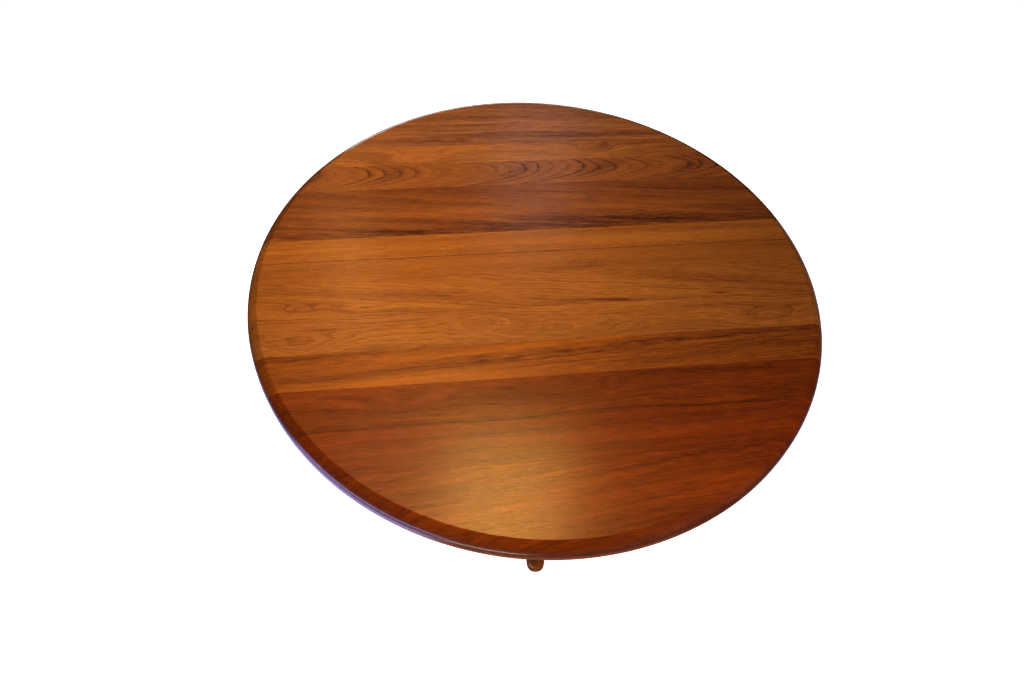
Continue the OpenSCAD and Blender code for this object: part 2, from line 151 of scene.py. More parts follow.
# Colours as 0-255 display values: the hidden frame's, the pedestal's, and the painted shade on edges
FRAME_TONE = (154, 92, 44)
FRAME_DARK = (90, 48, 22)
BASE_TONE = (176, 106, 52)
EDGE_SHADE_COLOUR = (80, 34, 18)

# How strong that painted edge shade is, how far the growth rings lean, and how much darker end grain is
EDGE_SHADE_STRENGTH = 0.2
RING_LEAN = 0.45
END_GRAIN_SHADE = 0.55

# Painted seam shade lies on joint faces that lean at least this far
SEAM_SHADE_LEAN = 0.2

# The setting: the floor's half width and the backdrop's radius, their glow, and the low lamps
STAGE = 14
STAGE_GLOW = 0.92
FILL_LAMP_R = 2.7
FILL_LAMP_Z = 0.4


def place(u, v):
    """A point on the top, in metres, from shares of its radius."""
    return Vector((u * RADIUS, v * RADIUS, 0))


# ---- node graphs -----------------------------------------------------------

def linear(r, g, b):
    """A colour given as 0-255 display values, as linear light."""
    def one(c):
        c = c / 255
        return c / 12.92 if c <= 0.04045 else ((c + 0.055) / 1.055) ** 2.4
    return (one(r), one(g), one(b), 1.0)


class Graph:
    """A material's nodes, with short calls that return output sockets."""

    def __init__(self, name):
        self.material = bpy.data.materials.new(name)
        self.material.use_nodes = True
        self.tree = self.material.node_tree
        self.shader = self.tree.nodes["Principled BSDF"]
        coordinate = self.tree.nodes.new("ShaderNodeTexCoord")
        self.point = coordinate.outputs["Object"]
        self.normal = coordinate.outputs["Normal"]

    def set(self, socket, value):
        """Links an output to the socket, or sets the socket to a constant."""
        if isinstance(value, bpy.types.NodeSocket):
            self.tree.links.new(value, socket)
        else:
            socket.default_value = value

    def math(self, operation, *values):
        node = self.tree.nodes.new("ShaderNodeMath")
        node.operation = operation
        for socket, value in zip(node.inputs, values):
            self.set(socket, value)
        return node.outputs[0]

    def dot(self, vector, with_vector):
        node = self.tree.nodes.new("ShaderNodeVectorMath")
        node.operation = "DOT_PRODUCT"
        self.set(node.inputs[0], vector)
        self.set(node.inputs[1], with_vector)
        return node.outputs["Value"]

    def mapped(self, vector, location=(0, 0, 0), angle=0.0, scale=(1, 1, 1)):
        """vector, scaled, turned about Z and then moved."""
        node = self.tree.nodes.new("ShaderNodeMapping")
        node.vector_type = "POINT"
        self.set(node.inputs["Vector"], vector)
        node.inputs["Location"].default_value = location
        node.inputs["Rotation"].default_value = (0, 0, angle)
        node.inputs["Scale"].default_value = scale
        return node.outputs["Vector"]

    def joined(self, x, y, z):
        node = self.tree.nodes.new("ShaderNodeCombineXYZ")
        for socket, value in zip(node.inputs, (x, y, z)):
            self.set(socket, value)
        return node.outputs["Vector"]

    def split(self, vector):
        """A vector's parts, as outputs named X, Y and Z."""
        node = self.tree.nodes.new("ShaderNodeSeparateXYZ")
        self.set(node.inputs[0], vector)
        return node.outputs

    def noise(self, vector, detail=2.0, roughness=0.5):
        node = self.tree.nodes.new("ShaderNodeTexNoise")
        node.inputs["Scale"].default_value = 1.0
        node.inputs["Detail"].default_value = detail
        node.inputs["Roughness"].default_value = roughness
        self.set(node.inputs["Vector"], vector)
        return node.outputs["Fac"]

    def random(self, value):
        """A random number from 0 to 1 for each value."""
        node = self.tree.nodes.new("ShaderNodeTexWhiteNoise")
        node.noise_dimensions = "1D"
        self.set(node.inputs["W"], value)
        return node.outputs["Value"]

    def spread(self, value, low, high, to_low=0.0, to_high=1.0):
        """value, from low..high to to_low..to_high, clamped."""
        node = self.tree.nodes.new("ShaderNodeMapRange")
        node.clamp = True
        for socket, number in zip(node.inputs, (value, low, high, to_low, to_high)):
            self.set(socket, number)
        return node.outputs["Result"]

    def mix(self, share, a, b):
        """Colour a, going over to colour b as share goes from 0 to 1."""
        node = self.tree.nodes.new("ShaderNodeMix")
        node.data_type = "RGBA"
        node.clamp_factor = True
        colours = [s for s in node.inputs if s.type == "RGBA"]
        self.set(node.inputs["Factor"], share)
        self.set(colours[0], a)
        self.set(colours[1], b)
        return next(s for s in node.outputs if s.type == "RGBA")

    def hill(self, centre, half_x, half_y, angle=0.0):
        """A smooth hill, 1 at centre, falling off over half_x and half_y metres."""
        shift = Matrix.Rotation(-angle, 3, "Z") @ -Vector(centre)
        turned = self.mapped(self.point, (shift.x, shift.y, 0), -angle, (1, 1, 0))
        scaled = self.mapped(turned, scale=(1 / half_x, 1 / half_y, 0))
        return self.math("POWER", 1 / math.e, self.dot(scaled, scaled))

    def bump(self, height, strength, distance):
        node = self.tree.nodes.new("ShaderNodeBump")
        node.inputs["Strength"].default_value = strength
        node.inputs["Distance"].default_value = distance
        self.set(node.inputs["Height"], height)
        return node.outputs["Normal"]


# ---- wood ------------------------------------------------------------------

def along_grain(g, along):
    """The point, turned so that its first coordinate runs along the grain."""
    if along == "y":
        return g.mapped(g.point, angle=math.pi / 2)
    if along == "z":
        own = g.split(g.point)
        return g.joined(own["Z"], own["X"], own["Y"])
    return g.point


def ring_number(g, point, spacing, tilt, arch, eyes, wave, seed):
    """The growth ring number at a point, whose contours are the grain lines.

    They are straight and parallel at first, spacing apart and tilted by tilt. An arch (cathedral
    figure), eyes, and a slow and a quick wave then bend them.
    """
    per_m = 1 / spacing
    grain = g.dot(point, (-tilt * per_m, per_m, -RING_LEAN * per_m))
    if arch:
        x, y, _ = g.split(point)
        across, bend, middle = arch
        off = g.math("SUBTRACT", y, middle)
        curve = g.math("MULTIPLY", g.math("MULTIPLY", off, off), bend)
        arches = g.math("DIVIDE", g.math("ADD", x, curve), across)
        grain = g.math("ADD", g.math("MULTIPLY", grain, 0.12), arches)
    for u, v, half_x, half_y, rings in eyes:
        grain = g.math("MULTIPLY_ADD", g.hill(place(u, v), half_x, half_y), rings, grain)
    slow = g.noise(g.mapped(point, (seed, seed * 3.1, 0), scale=SLOW_WAVE), 2.0)
    quick = g.noise(g.mapped(point, (seed * 5.3, seed, 0), scale=QUICK_WAVE), 2.0)
    grain = g.math("MULTIPLY_ADD", slow, 5 * wave, grain)
    return g.math("MULTIPLY_ADD", quick, 1.1 * wave, grain)


def ring_lines(g, grain):
    """Dark late wood: each ring's line fades on one side, and has a strength of its own."""
    number = g.math("FLOOR", grain)
    part = g.math("SUBTRACT", grain, number)
    fade = g.math("POWER", g.math("SUBTRACT", 1.0, part), 5.0)
    rise = g.spread(part, 0.9, 1.0)
    strength = g.spread(g.random(number), 0.3, 0.95, 0.08, 1.1)
    return g.math("MULTIPLY", g.math("MAXIMUM", fade, rise), strength)


def teak(name, tone, dark, spacing=0.005, tilt=0.0, arch=None, eyes=(), streaks=(), pales=(),
         figure=0.5, lines=0.5, wave=1.0, seed=0.0, gloss=0.24, coat=0.45, along="x", edge_shade=0.0):
    """Oiled and lacquered teak, between a lighter tone and a dark colour.

    figure and lines say how strong the broad figure and the ring lines are. Streaks darken and
    pales lighten: u, v, half length, half width, angle and strength. The last argument sets how
    much shade is painted on the parts that don't face up.
    """
    g = Graph(name)
    point = along_grain(g, along)
    grain = ring_number(g, point, spacing, tilt, arch, eyes, wave, seed)

    x = g.split(point)["X"]
    broad_at = g.joined(g.math("MULTIPLY", x, 2.0), g.math("MULTIPLY", grain, 0.30), seed)
    fine_at = g.joined(g.math("MULTIPLY", x, 8.0), g.math("MULTIPLY", grain, 1.3), seed + 4)
    broad = g.noise(broad_at, 4.0, 0.6)
    fine = g.noise(fine_at, 3.0, 0.6)
    fleck = g.noise(g.mapped(point, (seed, seed * 2, 0), scale=FLECKS), 3.0, 0.65)
    fibre = g.noise(g.mapped(point, (seed, 0, 0), scale=FIBRES), 2.0, 0.6)
    pores = g.noise(g.mapped(point, (0, seed, 0), scale=PORES), 1.0, 0.5)
    pits = g.spread(pores, 0.60, 0.72)

    # depth is how far the colour lies from tone towards dark
    depth = g.spread(broad, 0.32, 0.70, 0.0, 0.8 * figure)
    depth = g.math("MULTIPLY_ADD", g.spread(fine, 0.3, 0.72), 0.45 * figure, depth)
    depth = g.math("MULTIPLY_ADD", ring_lines(g, grain), 0.6 * lines, depth)
    for u, v, half_x, half_y, angle, strength in streaks:
        torn = g.spread(fine, 0.3, 0.62, 0.15, 1.0)
        ragged = g.math("MULTIPLY", torn, g.spread(fleck, 0.35, 0.6, 0.5, 1.0))
        band = g.math("MULTIPLY", g.hill(place(u, v), half_x, half_y, angle), ragged)
        depth = g.math("MULTIPLY_ADD", band, strength, depth)
    for u, v, half_x, half_y, angle, strength in pales:
        depth = g.math("MULTIPLY_ADD", g.hill(place(u, v), half_x, half_y, angle), -strength, depth)
    depth = g.math("ADD", depth, g.spread(fleck, 0.34, 0.70, -0.14, 0.26))
    depth = g.math("ADD", depth, g.spread(fibre, 0.3, 0.7, -0.07, 0.09))
    depth = g.math("MULTIPLY_ADD", pits, 0.10, depth)

    colour = g.mix(depth, linear(*tone), linear(*dark))
    facing = g.math("ABSOLUTE", g.split(g.normal)[along.upper()])
    end_grain = g.spread(facing, 0.25, 0.95, 0.0, 0.3)
    colour = g.mix(end_grain, colour, linear(*[c * END_GRAIN_SHADE for c in dark]))
    # Painted shade: the further a face turns away from straight up, the darker it is painted
    if edge_shade:
        shade_share = g.spread(g.split(g.normal)["Z"], 0.45, 0.95, edge_shade, 0.0)
        colour = g.mix(shade_share, colour, linear(*EDGE_SHADE_COLOUR))
    g.set(g.shader.inputs["Base Color"], colour)

    rough = g.spread(fibre, 0.3, 0.75, gloss - 0.05, gloss + 0.10)
    g.set(g.shader.inputs["Roughness"], rough)
    g.shader.inputs["IOR"].default_value = 1.5
    g.shader.inputs["Coat Weight"].default_value = coat
    g.shader.inputs["Coat Roughness"].default_value = 0.2
    height = g.math("SUBTRACT", g.math("MULTIPLY_ADD", fleck, 0.8, g.math("MULTIPLY", fibre, 0.4)), pits)
    g.set(g.shader.inputs["Normal"], g.bump(height, 0.25, 0.0004))
    return g.material


# Each board's look: its lighter and darker colour, and where its figure lies on the top, in shares
# of the radius. Half lengths and half widths are in metres.
BOARDS = {
    "board_far_5": dict(tone=(193, 123, 83), dark=(103, 56, 45), spacing=0.006, tilt=-0.02,
                        figure=0.75, lines=0.35, seed=11.3,
                        streaks=((-0.1, 0.74, 0.30, 0.008, 0, 0.35),)),
    "board_far_4": dict(tone=(191, 119, 67), dark=(102, 55, 37), spacing=0.010, tilt=-0.03,
                        figure=0.55, lines=0.5, wave=1.6, seed=7.7,
                        eyes=((0.31, 0.665, 0.035, 0.017, 6), (-0.42, 0.63, 0.09, 0.03, 5)),
                        streaks=((0.345, 0.675, 0.02, 0.01, 0.5, 0.5),)),
    "board_far_3": dict(tone=(171, 102, 56), dark=(81, 40, 32), spacing=0.02, wave=0.55,
                        arch=(0.036, 55, 0.338), figure=0.4, lines=1.3, seed=3.1,
                        streaks=((-0.02, 0.548, 0.05, 0.012, 0.5, 0.45),
                                 (0.34, 0.56, 0.045, 0.014, 0.5, 0.55),
                                 (-0.50, 0.55, 0.03, 0.010, 0.6, 0.35),
                                 (0.70, 0.545, 0.05, 0.010, 0.2, 0.3))),
    "board_far_2": dict(tone=(160, 92, 46), dark=(80, 36, 25), spacing=0.007, tilt=-0.10,
                        figure=0.6, lines=0.3, seed=5.9,
                        streaks=((0.30, 0.265, 0.40, 0.024, 0, 0.42),
                                 (-0.55, 0.245, 0.35, 0.012, 0, 0.35)),
                        pales=((0.0, 0.345, 0.7, 0.015, 0, 0.22),)),
    "board_far_1": dict(tone=(178, 110, 51), dark=(114, 57, 28), spacing=0.006,
                        figure=0.45, lines=0.25, wave=0.6, seed=2.2),
    "board_fixed_2": dict(tone=(169, 103, 48), dark=(109, 54, 25), spacing=0.007,
                          figure=0.4, lines=0.2, wave=0.8, seed=8.4,
                          streaks=((0.18, 0.055, 0.03, 0.012, 0, 0.45),
                                   (0.05, 0.045, 0.22, 0.014, 0, 0.25))),
    "board_fixed_1": dict(tone=(178, 111, 54), dark=(102, 47, 21), spacing=0.0075, tilt=-0.13,
                          figure=0.5, lines=0.75, wave=1.1, seed=6.6,
                          eyes=((-0.83, -0.085, 0.05, 0.013, 3), (-0.62, -0.095, 0.05, 0.012, 3)),
                          streaks=((0.22, -0.115, 0.07, 0.005, -0.06, 0.7),
                                   (0.63, -0.11, 0.02, 0.006, 0, 0.6))),
    "board_near_1": dict(tone=(181, 112, 56), dark=(100, 50, 23), spacing=0.009, tilt=-0.03,
                         figure=0.45, lines=0.8, wave=1.6, seed=9.8,
                         eyes=((0.77, -0.222, 0.07, 0.020, 6), (0.02, -0.24, 0.14, 0.025, 4),
                               (-0.82, -0.245, 0.09, 0.03, 5), (-0.22, -0.17, 0.06, 0.02, -4))),
    "board_near_2": dict(tone=(171, 95, 28), dark=(81, 32, 22), spacing=0.008, tilt=0.05,
                         figure=0.6, lines=0.6, wave=1.3, seed=1.7,
                         streaks=((-0.08, -0.335, 0.24, 0.014, 0.05, 0.36),
                                  (0.60, -0.295, 0.22, 0.009, 0.02, 0.30),
                                  (0.72, -0.33, 0.05, 0.005, 0, 0.40)),
                         pales=((-0.45, -0.39, 0.30, 0.012, 0.0, 0.30),
                                (0.0, -0.285, 0.22, 0.006, 0.07, 0.25))),
    # The near boards get stronger painted edge shade, darkest where the near rim turns away from the top
    "board_near_3": dict(tone=(158, 74, 13), dark=(78, 28, 8), spacing=0.009, tilt=0.0,
                         figure=0.65, lines=0.55, wave=1.4, seed=4.5, edge_shade=0.4,
                         eyes=((-0.46, -0.475, 0.09, 0.02, 4), (0.03, -0.475, 0.13, 0.024, 5)),
                         streaks=((0.60, -0.545, 0.22, 0.016, 0.03, 0.28),)),
    "board_near_4": dict(tone=(158, 70, 12), dark=(85, 31, 8), spacing=0.0065, tilt=0.03,
                         figure=0.55, lines=0.35, seed=12.9, edge_shade=0.5,
                         streaks=((-0.23, -0.70, 0.06, 0.006, 0.0, 0.35),)),
    "board_near_5": dict(tone=(175, 81, 12), dark=(92, 33, 8), spacing=0.0065, tilt=0.10,
                         figure=0.6, lines=0.35, seed=10.4, edge_shade=0.7,
                         streaks=((0.25, -0.74, 0.30, 0.009, 0.11, 0.2),)),
}


# ---- metal, coat, plastic and grime ----------------------------------------

def metal(name, colour, roughness, worn, bright):
    """Cast or drawn metal: fine brushing and patchy tarnish."""
    g = Graph(name)
    patches = g.noise(g.mapped(g.point, scale=(60, 60, 60)), 4.0, 0.6)
    brush = g.noise(g.mapped(g.point, scale=(2500, 160, 160)), 1.0, 0.5)
    tarnish = g.spread(patches, 0.42, 0.68)
    body = g.mix(tarnish, linear(*colour), linear(*worn))
    body = g.mix(g.spread(brush, 0.45, 0.8, 0.0, 0.35), body, linear(*bright))
    g.set(g.shader.inputs["Base Color"], body)
    g.shader.inputs["Metallic"].default_value = 0.85
    g.set(g.shader.inputs["Roughness"], g.spread(patches, 0.3, 0.7, roughness, roughness + 0.18))
    g.set(g.shader.inputs["Normal"], g.bump(brush, 0.12, 0.0002))
    return g.material


def black_coat(name):
    """Powder coat, with its fine orange peel."""
    g = Graph(name)
    peel = g.noise(g.mapped(g.point, scale=(900, 900, 900)), 2.0, 0.5)
    g.set(g.shader.inputs["Base Color"], g.mix(peel, linear(26, 26, 27), linear(40, 40, 41)))
    g.set(g.shader.inputs["Roughness"], g.spread(peel, 0.3, 0.7, 0.42, 0.58))
    g.set(g.shader.inputs["Normal"], g.bump(peel, 0.25, 0.0003))
    return g.material


def glide_plastic(name):
    """Scuffed dark plastic."""
    g = Graph(name)
    scuff = g.noise(g.mapped(g.point, scale=(420, 420, 420)), 4.0, 0.7)
    colour = g.mix(g.spread(scuff, 0.45, 0.7), linear(38, 32, 28), linear(72, 64, 56))
    g.set(g.shader.inputs["Base Color"], colour)
    g.set(g.shader.inputs["Roughness"], g.spread(scuff, 0.3, 0.7, 0.5, 0.75))
    g.set(g.shader.inputs["Normal"], g.bump(scuff, 0.2, 0.0003))
    return g.material


def painted_seam_shade(name):
    """Painted shade on the eased corners of the open leaf joint, standing in for the little light that reaches
    into the gap.
    """
    g = Graph(name)
    # A mottled dark brown, painted as the shade inside the joint
    shade_mottle = g.noise(g.mapped(g.point, scale=(60, 400, 400)), 3.0)
    colour = g.mix(g.spread(shade_mottle, 0.3, 0.7), linear(26, 12, 5), linear(48, 23, 10))
    g.set(g.shader.inputs["Base Color"], colour)
    g.shader.inputs["Roughness"].default_value = 0.8
    g.shader.inputs["Specular IOR Level"].default_value = 0.1
    return g.material


MATERIALS = {
    "seam": painted_seam_shade("painted_seam_shade"),
    "rim": teak("teak_rim", (158, 88, 38), (90, 45, 19), figure=0.6, lines=0.4, seed=13.0),
    "rail": teak("teak_rail", FRAME_TONE, FRAME_DARK, spacing=0.006, figure=0.6, lines=0.4, seed=14.0,
                 gloss=0.42, coat=0.15),
    "batten": teak("teak_batten", FRAME_TONE, FRAME_DARK, spacing=0.006, figure=0.6, lines=0.4, seed=15.0,
                   gloss=0.42, coat=0.15, along="y"),
    "upright": teak("teak_upright", BASE_TONE, FRAME_DARK, spacing=0.008, figure=0.6, seed=16.0,
                    gloss=0.3, coat=0.35, along="z"),
    "foot_x": teak("teak_foot_x", BASE_TONE, FRAME_DARK, spacing=0.007, figure=0.6, seed=17.0),
    "foot_y": teak("teak_foot_y", BASE_TONE, FRAME_DARK, spacing=0.007, figure=0.6, seed=18.0, along="y"),
    "brass": metal("brass", (214, 170, 96), 0.26, (150, 108, 56), (236, 200, 132)),
    "steel": metal("zinc_steel", (176, 178, 180), 0.34, (120, 120, 122), (206, 208, 210)),
    "black": black_coat("black_powder_coat"),
    "glide": glide_plastic("glide_plastic"),
}


# ---- meshes ----------------------------------------------------------------

def finish_piece(name, bm, material, node, sharp=32.0):
    """Makes the mesh a piece that rides with its CAD node's body, and shows in its place."""
    bmesh.ops.remove_doubles(bm, verts=bm.verts, dist=1e-6)
    bmesh.ops.recalc_face_normals(bm, faces=bm.faces)
    mesh = bpy.data.meshes.new(name)
    bm.to_mesh(mesh)
    bm.free()
    mesh.materials.append(material)
    mesh.shade_smooth()
    mesh.set_sharp_from_angle(angle=math.radians(sharp))
    piece = bpy.data.objects.new(name, mesh)
    even = piece.modifiers.new("even_shading", "WEIGHTED_NORMAL")
    even.keep_sharp = True
    bpy.context.scene.collection.objects.link(piece)
    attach(piece, NODE_BODY[node])
    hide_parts(node)
    return piece


def arc(cx, cz, r, a0, a1, steps=ARC_STEPS):
    """Points on an arc, in degrees from the outward horizontal."""
    angles = [math.radians(a0 + (a1 - a0) * i / steps) for i in range(steps + 1)]
    return [(cx + r * math.cos(a), cz + r * math.sin(a)) for a in angles]


def smooth_line(a, b, c, d, steps):
    """Points on a cubic curve from a to d."""
    points = []
    for i in range(steps + 1):
        t = i / steps
        s = 1 - t
        weights = (s ** 3, 3 * s * s * t, 3 * s * t * t, t ** 3)
        points.append(tuple(sum(w * p[k] for w, p in zip(weights, (a, b, c, d))) for k in (0, 1)))
    return points


def revolve(profile, closed=False, turn=TURN):
    """A solid of revolution about Z, from a list of (radius, height) points."""
    bm = bmesh.new()
    rings = []
    for r, z in profile:
        if r < 1e-6:
            rings.append([bm.verts.new((0, 0, z))])
            continue
        angles = [2 * math.pi * i / turn for i in range(turn)]
        rings.append([bm.verts.new((r * math.cos(a), r * math.sin(a), z)) for a in angles])
    pairs = list(zip(rings, rings[1:]))
    if closed:
        pairs.append((rings[-1], rings[0]))
    for a, b in pairs:
        for i in range(turn):
            corners = [a[i % len(a)], a[(i + 1) % len(a)], b[(i + 1) % len(b)], b[i % len(b)]]
            bm.faces.new(list(dict.fromkeys(corners)))
    bmesh.ops.recalc_face_normals(bm, faces=bm.faces)
    return bm


def cut_off(bm, point, outward):
    """Drops what lies beyond a plane and closes the cut."""
    geometry = bm.verts[:] + bm.edges[:] + bm.faces[:]
    bmesh.ops.bisect_plane(bm, geom=geometry, plane_co=point, plane_no=outward, clear_outer=True, dist=1e-7)
    bmesh.ops.holes_fill(bm, edges=[e for e in bm.edges if e.is_boundary], sides=0)


def merge_flat(bm):
    """Joins faces that lie in one plane, so that only true edges are left to round over."""
    bmesh.ops.dissolve_limit(bm, angle_limit=math.radians(0.3), verts=bm.verts, edges=bm.edges)


def ease(bm, chosen, width, segments=3):
    """Rounds the chosen edges over."""
    edges = [e for e in bm.edges if len(e.link_faces) == 2 and chosen(e)]
    if edges:
        bmesh.ops.bevel(bm, geom=edges, offset=width, segments=segments, profile=0.5, affect="EDGES",
                        clamp_overlap=True)


# ---- the top ---------------------------------------------------------------

def upper_profile():
    """The boards' rounded edge, which meets the flat top in a faint crease."""
    pull = EDGE_W / 2
    start = (RADIUS - EDGE_W, TOP_Z)
    lean = (start[0] + pull * math.cos(EDGE_SLOPE), start[1] - pull * math.sin(EDGE_SLOPE))
    foot_z = TOP_Z - EDGE_DROP
    curve = smooth_line((RADIUS, foot_z), (RADIUS, foot_z + pull), lean, start, EDGE_STEPS)
    a, b = curve[-2], curve[-1]
    near_b = (b[0] + CREASE_SHARE * (a[0] - b[0]), b[1] + CREASE_SHARE * (a[1] - b[1]))
    soften = [near_b, (b[0] - CREASE_W, TOP_Z)]
    return [(0, UNDER_Z), (RADIUS, UNDER_Z)] + curve[:-1] + soften + [(0, TOP_Z)]


def lower_profile():
    """The rim under the boards' ends, with a small bevel inside and a round corner outside."""
    inner = [(RIM_IN, UNDER_Z), (RIM_IN, HINGE_Z + RIM_BEVEL), (RIM_IN + RIM_BEVEL, HINGE_Z)]
    under_round = arc(RADIUS - UNDER_R, HINGE_Z + UNDER_R, UNDER_R, -90, 0)
    return inner + under_round + [(RADIUS, UNDER_Z)]


def board_sides(node):
    """Where a board meets its neighbours: the y, the way out of the board, and how its corner is eased."""
    low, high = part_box(node)
    sides = []
    for y, outward in ((low.y, -1), (high.y, 1)):
        if abs(y) > RADIUS - SAME_PLACE:
            continue
        if abs(y - HINGE_Y) < SAME_PLACE:
            sides.append((y, outward, FAR_SEAM_EASE))
        elif abs(y + HINGE_Y) < SAME_PLACE:
            sides.append((y + outward * NEAR_SEAM_CLOSED, outward, NEAR_SEAM_EASE))
        else:
            sides.append((y, outward, JOINT_EASE))
    return sides


def gets_painted_seam_shade(face):
    """True on the eased corners of the open leaf joint, which are given painted shade."""
    middle = face.calc_center_median()
    in_joint = abs(middle.y - HINGE_Y) < FAR_SEAM_EASE and middle.z > TOP_Z - FAR_SEAM_EASE
    return in_joint and abs(face.normal.y) > SEAM_SHADE_LEAN


def board(node):
    """One board of the top, cut from the whole round top between its two joints."""
    bm = revolve(upper_profile())
    sides = board_sides(node)
    for y, outward, _ in sides:
        cut_off(bm, (0, y, 0), (0, outward, 0))
    merge_flat(bm)
    for y, _, ease_by in sides:
        def along(e, y=y):
            a, b = (v.co for v in e.verts)
            on_top = min(a.z, b.z) > TOP_Z - TOUCHING
            return on_top and abs(a.y - y) < TOUCHING and abs(b.y - y) < TOUCHING
        ease(bm, along, ease_by, 1 if ease_by == JOINT_EASE else 3)
    # The eased corners of the open joint get the painted seam shade
    for face in bm.faces:
        face.material_index = 1 if gets_painted_seam_shade(face) else 0
    look = BOARDS[node]
    # Each board gets the shared strength of painted edge shade, unless its look gives its own
    wood = teak("teak_" + node, **{"edge_shade": EDGE_SHADE_STRENGTH, **look})
    piece = finish_piece("top_" + node, bm, wood, node)
    # Second material: the painted shade for the open joint
    piece.data.materials.append(MATERIALS["seam"])


def rim_piece(node):
    """One curved piece of the rim under the boards' ends."""
    bm = revolve(lower_profile(), closed=True)
    if "fixed" in node:
        side = 1 if node.endswith("right") else -1
        cut_off(bm, (0, FIXED_EDGE, 0), (0, 1, 0))
        cut_off(bm, (0, -FIXED_EDGE, 0), (0, -1, 0))
        cut_off(bm, (0, 0, 0), (-side, 0, 0))
    else:
        sign = 1 if "far" in node else -1
        start = math.asin(SEAM / RADIUS)
        step = (math.pi - 2 * start) / RIM_PIECES
        index = int(node[-1])
        a0 = start + step * (index - 1)
        a1 = a0 + step
        cut_off(bm, (0, sign * SEAM, 0), (0, -sign, 0))
        if index > 1:
            cut_off(bm, (0, 0, 0), (math.sin(a0), -sign * math.cos(a0), 0))
        if index < RIM_PIECES:
            cut_off(bm, (0, 0, 0), (-math.sin(a1), sign * math.cos(a1), 0))
    merge_flat(bm)
    finish_piece("edge_" + node, bm, MATERIALS["rim"], node)


def top():
    for node in BOARDS:
        board(node)
    for side in SIDES:
        for index in range(RIM_PIECES):
            rim_piece(f"rim_{side}_{index + 1}")
    for end in ENDS:
        rim_piece(f"rim_fixed_{end}")


# ---- rails, battens and head block -----------------------------------------

def eased_copy(node, material, width, shortest):
    """A copy of a CAD piece with its sharp edges longer than shortest rounded over."""
    bm = bmesh.new()
    bm.from_mesh(frame["nodes"][node].data)
    bmesh.ops.remove_doubles(bm, verts=bm.verts, dist=TOUCHING)
    merge_flat(bm)

    def sharp(e):
        return e.calc_length() > shortest and e.calc_face_angle(0) > SHARP_EDGE
    ease(bm, sharp, width)
    finish_piece(node + "_eased", bm, material, node)


def frame_wood():
    for side in SIDES:
        eased_copy(f"rail_fixed_{side}", MATERIALS["rail"], RAIL_EASE, RAIL_EDGE)
        eased_copy(f"rail_leaf_{side}", MATERIALS["rail"], RAIL_EASE, RAIL_EDGE)
        for end in ENDS:
            eased_copy(f"batten_{side}_{end}", MATERIALS["batten"], BLOCK_EASE, BLOCK_EDGE)
    eased_copy("head_block", MATERIALS["rail"], BLOCK_EASE, BLOCK_EDGE)


# ---- pedestal --------------------------------------------------------------

def column():
    """The turned shaft with its two collars."""
    head_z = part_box("head_block")[0].z
    middle = (HUB_TOP + head_z) / 2
    lower = arc(COLLAR_IN, HUB_TOP + COLLAR_Z, COLLAR_R, -COLLAR_HALF_ARC, COLLAR_HALF_ARC, 18)
    upper = arc(COLLAR_IN, head_z - COLLAR_Z, COLLAR_R, -COLLAR_HALF_ARC, COLLAR_HALF_ARC, 18)
    waist = (WAIST_R, middle)
    shaft = smooth_line((SHAFT_END_R, HUB_TOP + SHAFT_END_Z), (SHAFT_PULL_R, HUB_TOP + SHAFT_PULL_Z),
                        (WAIST_R, middle - WAIST_PULL_Z), waist, 16)
    shaft += smooth_line(waist, (WAIST_R, middle + WAIST_PULL_Z), (SHAFT_PULL_R, head_z - SHAFT_PULL_Z),
                         (SHAFT_END_R, head_z - SHAFT_END_Z), 16)[1:]
    profile = [(0, HUB_TOP - SINK), (COLUMN_END_R, HUB_TOP - SINK)] + lower + shaft + upper
    profile += [(COLUMN_END_R, head_z), (0, head_z)]
    finish_piece("turned_column", revolve(profile, turn=128), MATERIALS["upright"], "column", sharp=50)


def hub():
    """The square hub, with eased corners and a rounded top edge."""
    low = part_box("column")[0].z
    bm = bmesh.new()
    bmesh.ops.create_cube(bm, size=1)
    bmesh.ops.scale(bm, vec=(2 * HUB_HALF, 2 * HUB_HALF, HUB_TOP - low), verts=bm.verts)
    bmesh.ops.translate(bm, vec=(0, 0, (HUB_TOP + low) / 2), verts=bm.verts)
    ease(bm, lambda e: min(v.co.z for v in e.verts) > HUB_TOP - 1e-4, HUB_TOP_EASE, 4)
    ease(bm, lambda e: e.calc_length() > 0.05 and e.calc_face_angle(0) > 1, HUB_EASE, 3)
    finish_piece("hub_block", bm, MATERIALS["upright"], "column", sharp=50)


def height_at(line, x):
    """The height at x of a line of (x, height) points."""
    for (xa, za), (xb, zb) in zip(line, line[1:]):
        if x <= xb:
            return za + (zb - za) * (x - xa) / max(xb - xa, 1e-9)
    return line[-1][1]


def foot_station(t, reach):
    """How far out the section at a share t of a foot lies, and how much of its size the toe leaves it."""
    if t < BEFORE_TOE:
        return FOOT_START + (reach - TOE - FOOT_START) * t / BEFORE_TOE, 1.0
    a = (t - BEFORE_TOE) / (1 - BEFORE_TOE) * math.pi / 2
    return reach - TOE + TOE * math.sin(a), max(math.cos(a), 0.02)


